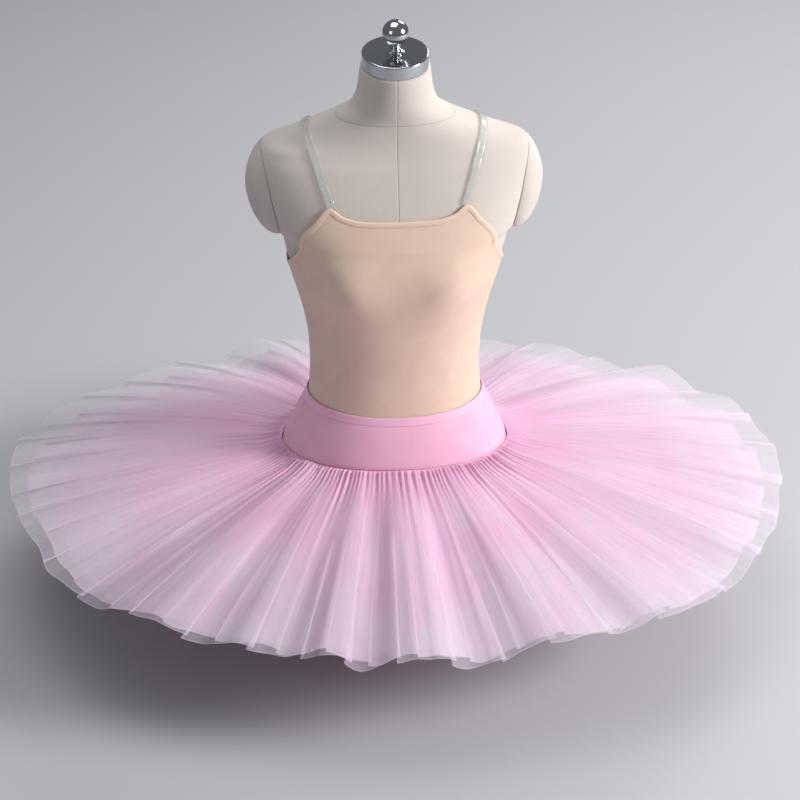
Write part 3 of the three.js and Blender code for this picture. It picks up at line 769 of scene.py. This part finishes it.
# Large laid-over folds: angle from centre front, half width and overlap in degrees, depth, and the
# share of the way out where they begin.
OVERLAPS = [
    (-172, 2.2, 1.7, 3.6, 0.30), (-160, 1.6, 1.2, 3.0, 0.45), (-149, 2.4, 1.9, 4.0, 0.25),
    (-138, 1.5, 1.3, 3.2, 0.50), (-127, 2.1, 1.6, 3.6, 0.35), (-118, 1.4, 1.2, 3.2, 0.55),
    (-108, 1.8, 1.7, 4.2, 0.40), (-101, 1.2, 1.1, 3.4, 0.62), (-94, 1.6, 1.6, 4.4, 0.45),
    (-87, 1.1, 1.1, 3.6, 0.66), (-79, 1.8, 1.7, 4.2, 0.35), (-69, 1.3, 1.1, 3.0, 0.55),
    (-60, 2.0, 1.8, 4.0, 0.22), (-50, 1.3, 1.1, 3.0, 0.50), (-41, 2.1, 1.6, 3.4, 0.30),
    (-30, 1.6, 1.6, 4.2, 0.12), (-21, 1.1, 1.0, 3.2, 0.40), (-13, 1.7, 1.7, 4.2, 0.08),
    (-4, 1.2, 1.0, 3.0, 0.30), (6, 1.7, 1.4, 3.6, 0.15), (15, 1.1, 1.0, 3.0, 0.45),
    (24, 1.9, 1.6, 3.8, 0.28), (34, 1.3, 1.2, 3.2, 0.50), (43, 2.2, 1.9, 4.2, 0.24),
    (55, 1.5, 1.2, 3.0, 0.48), (64, 2.0, 1.8, 4.2, 0.34), (75, 1.4, 1.4, 3.8, 0.50),
    (83, 1.8, 1.7, 4.2, 0.40), (92, 1.3, 1.2, 3.4, 0.56), (102, 1.9, 1.7, 4.0, 0.38),
    (113, 1.4, 1.2, 3.2, 0.52), (123, 2.1, 1.8, 3.8, 0.30), (134, 1.4, 1.2, 3.0, 0.48),
    (146, 2.2, 1.8, 3.8, 0.34), (157, 1.5, 1.2, 3.2, 0.50), (168, 2.0, 1.6, 3.6, 0.30),
]


def fold_at(angle):
    """Height of the large uneven folds, -1 to 1: a sine whose phase drifts and whose size swells."""
    a = np.radians(angle)
    drift = 0.07 * np.sin(3 * a + 1.1) + 0.05 * np.sin(5 * a + 2.3)
    main = np.sin(18 * (a + drift)) * (0.7 + 0.25 * np.sin(4 * a + 0.6))
    return main + 0.3 * np.sin(11 * a + 0.9) * np.sin(2 * a + 0.4)


def laid_over(angle, t, turn):
    """Turn and height of the overlapping folds: each slides its two sides towards its middle, far
    enough to lap, with one side up and the other down, and grows from its start to the edge."""
    slide = np.zeros(np.broadcast(angle, t).shape)
    lift = np.zeros_like(slide)
    for at, half, overlap, depth, start in OVERLAPS:
        u = ((angle - at - turn + 540) % 360 - 180) / half
        grow = np.clip((t - start) / (1 - start), 0, 1) ** 0.8
        slide -= overlap * grow * 2.33 * u * bell(u)
        lift += 1.25 * depth * grow * (bell(u / 1.3 + 0.8) - bell(u / 1.3 - 0.8))
    return slide, lift


def small_folds(angle, t, seed):
    """Seeded soft ridges and troughs, each with its own place, width, length and height."""
    draw = np.random.default_rng(seed)
    height = np.zeros(np.broadcast(angle, t).shape)
    for _ in range(120):
        at, half = draw.uniform(-180, 180), 0.6 + 3.2 * draw.uniform(0, 1) ** 2.2
        start, stop = draw.uniform(-0.3, 0.5), draw.uniform(0.55, 1.4)
        amount = draw.uniform(0.9, 3.4) * draw.choice([-1.0, 1.0, 1.0])
        near = np.abs((angle[0] - at + 540) % 360 - 180) < half * 3
        u = ((angle[:, near] - at + 540) % 360 - 180) / half
        middle, spread = (start + stop) / 2, (stop - start) / 2
        height[:, near] += amount * min(half / 1.2, 1.5) * bell(u) * bell((t - middle) / spread)
    return height


def gathers(angle, t, seed):
    """Close puckers where the net is sewn on: a sine of wandering pitch that dies away outwards."""
    a = np.radians(angle)
    wander = 1.6 * np.sin(7 * a + seed) + 1.2 * np.sin(13 * a + 2 * seed) + 0.8 * np.sin(31 * a + 0.7)
    size = 0.55 + 0.35 * np.sin(19 * a + seed) * np.sin(5 * a + 1.2) + 0.25 * np.sin(43 * a + 1.0)
    length = 0.10 + 0.06 * np.sin(17 * a + seed) * np.sin(6 * a + 2.0) + 0.03 * np.sin(37 * a)
    first = np.sin(92 * a + 2.2 * wander) * size * np.exp(-t / length)
    second = 0.5 * np.sin(163 * a - wander) * np.exp(-t / 0.07)
    return (first + second) * np.clip(t / 0.012, 0.45, 1)


def frill_grid(seat, reach, droop, columns, rows, seed):
    """Net that stands out from its seam on the brief to a wavy edge. It falls by its droop, most
    towards the back and a little more in front; large folds, laid-over folds, small folds and
    puckers lift it; and its edge is longer on one side. Rows run from the edge to the seam."""
    t = (np.linspace(1, 0, rows) ** 1.35)[:, None]
    angle = -180 + np.linspace(0, 360, columns, endpoint=False)[None, :]
    share = reach / FRILLS[0][1]
    slide, lift = laid_over(angle, t, 0.0 if seed == 0 else 3.7 * seed)
    room = 1.0 if seed == 0 else 0.75
    place_at = angle + slide * room
    start = form_point(seat, place_at, FRILL_OUT)
    tangent = form_point(seat, place_at + 0.5) - form_point(seat, place_at - 0.5)
    outwards = unit(np.stack([tangent[..., 1], -tangent[..., 0], 0 * tangent[..., 0]], axis=-1))
    a = np.radians(place_at)
    turn = (place_at + 540) % 360 - 180
    edge = 1 + 0.012 * np.sin(7 * a + 1.7) + 0.04 * bell((turn - 58) / 24)
    ragged = 1 + 0.004 * np.sin(31 * a + seed) + 0.003 * np.sin(57 * a + 2 * seed)
    extra = along(EXTRA_FALL, 1, np.abs(turn)) * (t * share) ** 2
    fall = droop * (0.55 * t + 0.45 * t * t) + extra
    folds = fold_at(place_at) * (1.2 + 8.8 * t)
    fine = small_folds(angle, t, 40 + seed) * (0.25 + 0.75 * t) * room
    pucker = gathers(angle, t, seed) * (2.8 if seed == 0 else 1.5)
    points = start + outwards * (reach * edge * ragged * t)[..., None]
    rise = (4.6 if seed == 0 else 2.0) * bell(t / 0.05)
    pucker = pucker * np.where(t > 0.01, 1.0, 0.4)
    points[..., 2] = seat + folds - fall + lift * room + fine + pucker + rise
    return points, t[:, 0]


for k, (seat, reach, droop, cut, columns, rows, density, paleness) in enumerate(FRILLS):
    points, rows_at = frill_grid(seat, reach, droop, columns, rows, k)
    net = tulle(f"pink tulle {k + 1}", cut, reach * MM, density, paleness)
    piece = surface(f"tulle_row_{k + 1}", points, net, ring=True, rows_at=rows_at)
    place(piece, f"frill_{k + 1}")

# ---------------------------------------------------------------- floor and light


def floor_finish(wires):
    """Pale matt floor with the faintest unevenness."""
    cloud = wires.noise(0.8, 2.0)
    return {
        "Base Color": wires.mix(cloud, tone(190, 191, 194), tone(184, 185, 188)),
        "Roughness": 0.85,
    }


FLOOR = 12000  # half its side
ends = np.array([-FLOOR, FLOOR], float)
corners = np.stack([*np.meshgrid(ends, ends), np.zeros((2, 2))], axis=-1)
surface("floor", corners, finish_of("pale floor", floor_finish))


def area_light(name, place_at, target, size, power, colour=(1, 1, 1)):
    """A square soft light that looks at a target."""
    data = bpy.data.lights.new(name, "AREA")
    data.size = size
    data.energy = power
    data.color = colour
    light = bpy.data.objects.new(name, data)
    bpy.context.scene.collection.objects.link(light)
    light.location = place_at
    away = np.array(place_at, float) - np.array(target, float)
    flat = math.hypot(away[0], away[1])
    light.rotation_euler = (math.atan2(flat, away[2]), 0, math.atan2(away[0], -away[1]))


TARGET = (0, 0, 0.4)
area_light("key", (3.3, -1.3, 1.9), TARGET, 1.2, 175, (1.0, 0.985, 0.97))
area_light("fill", (-2.6, -2.4, 1.8), TARGET, 1.6, 12, (0.93, 0.96, 1.0))
area_light("rim", (1.6, 2.6, 2.4), TARGET, 1.2, 45)
area_light("top", (-0.4, 0.2, 3.4), TARGET, 2.0, 34)

world = bpy.data.worlds.new("studio")
world.use_nodes = True
world.node_tree.nodes["Background"].inputs["Color"].default_value = (0.80, 0.84, 0.90, 1)
world.node_tree.nodes["Background"].inputs["Strength"].default_value = 0.20
bpy.context.scene.world = world
bpy.context.scene.view_settings.view_transform = "Standard"
bpy.context.scene.cycles.transparent_max_bounces = 40
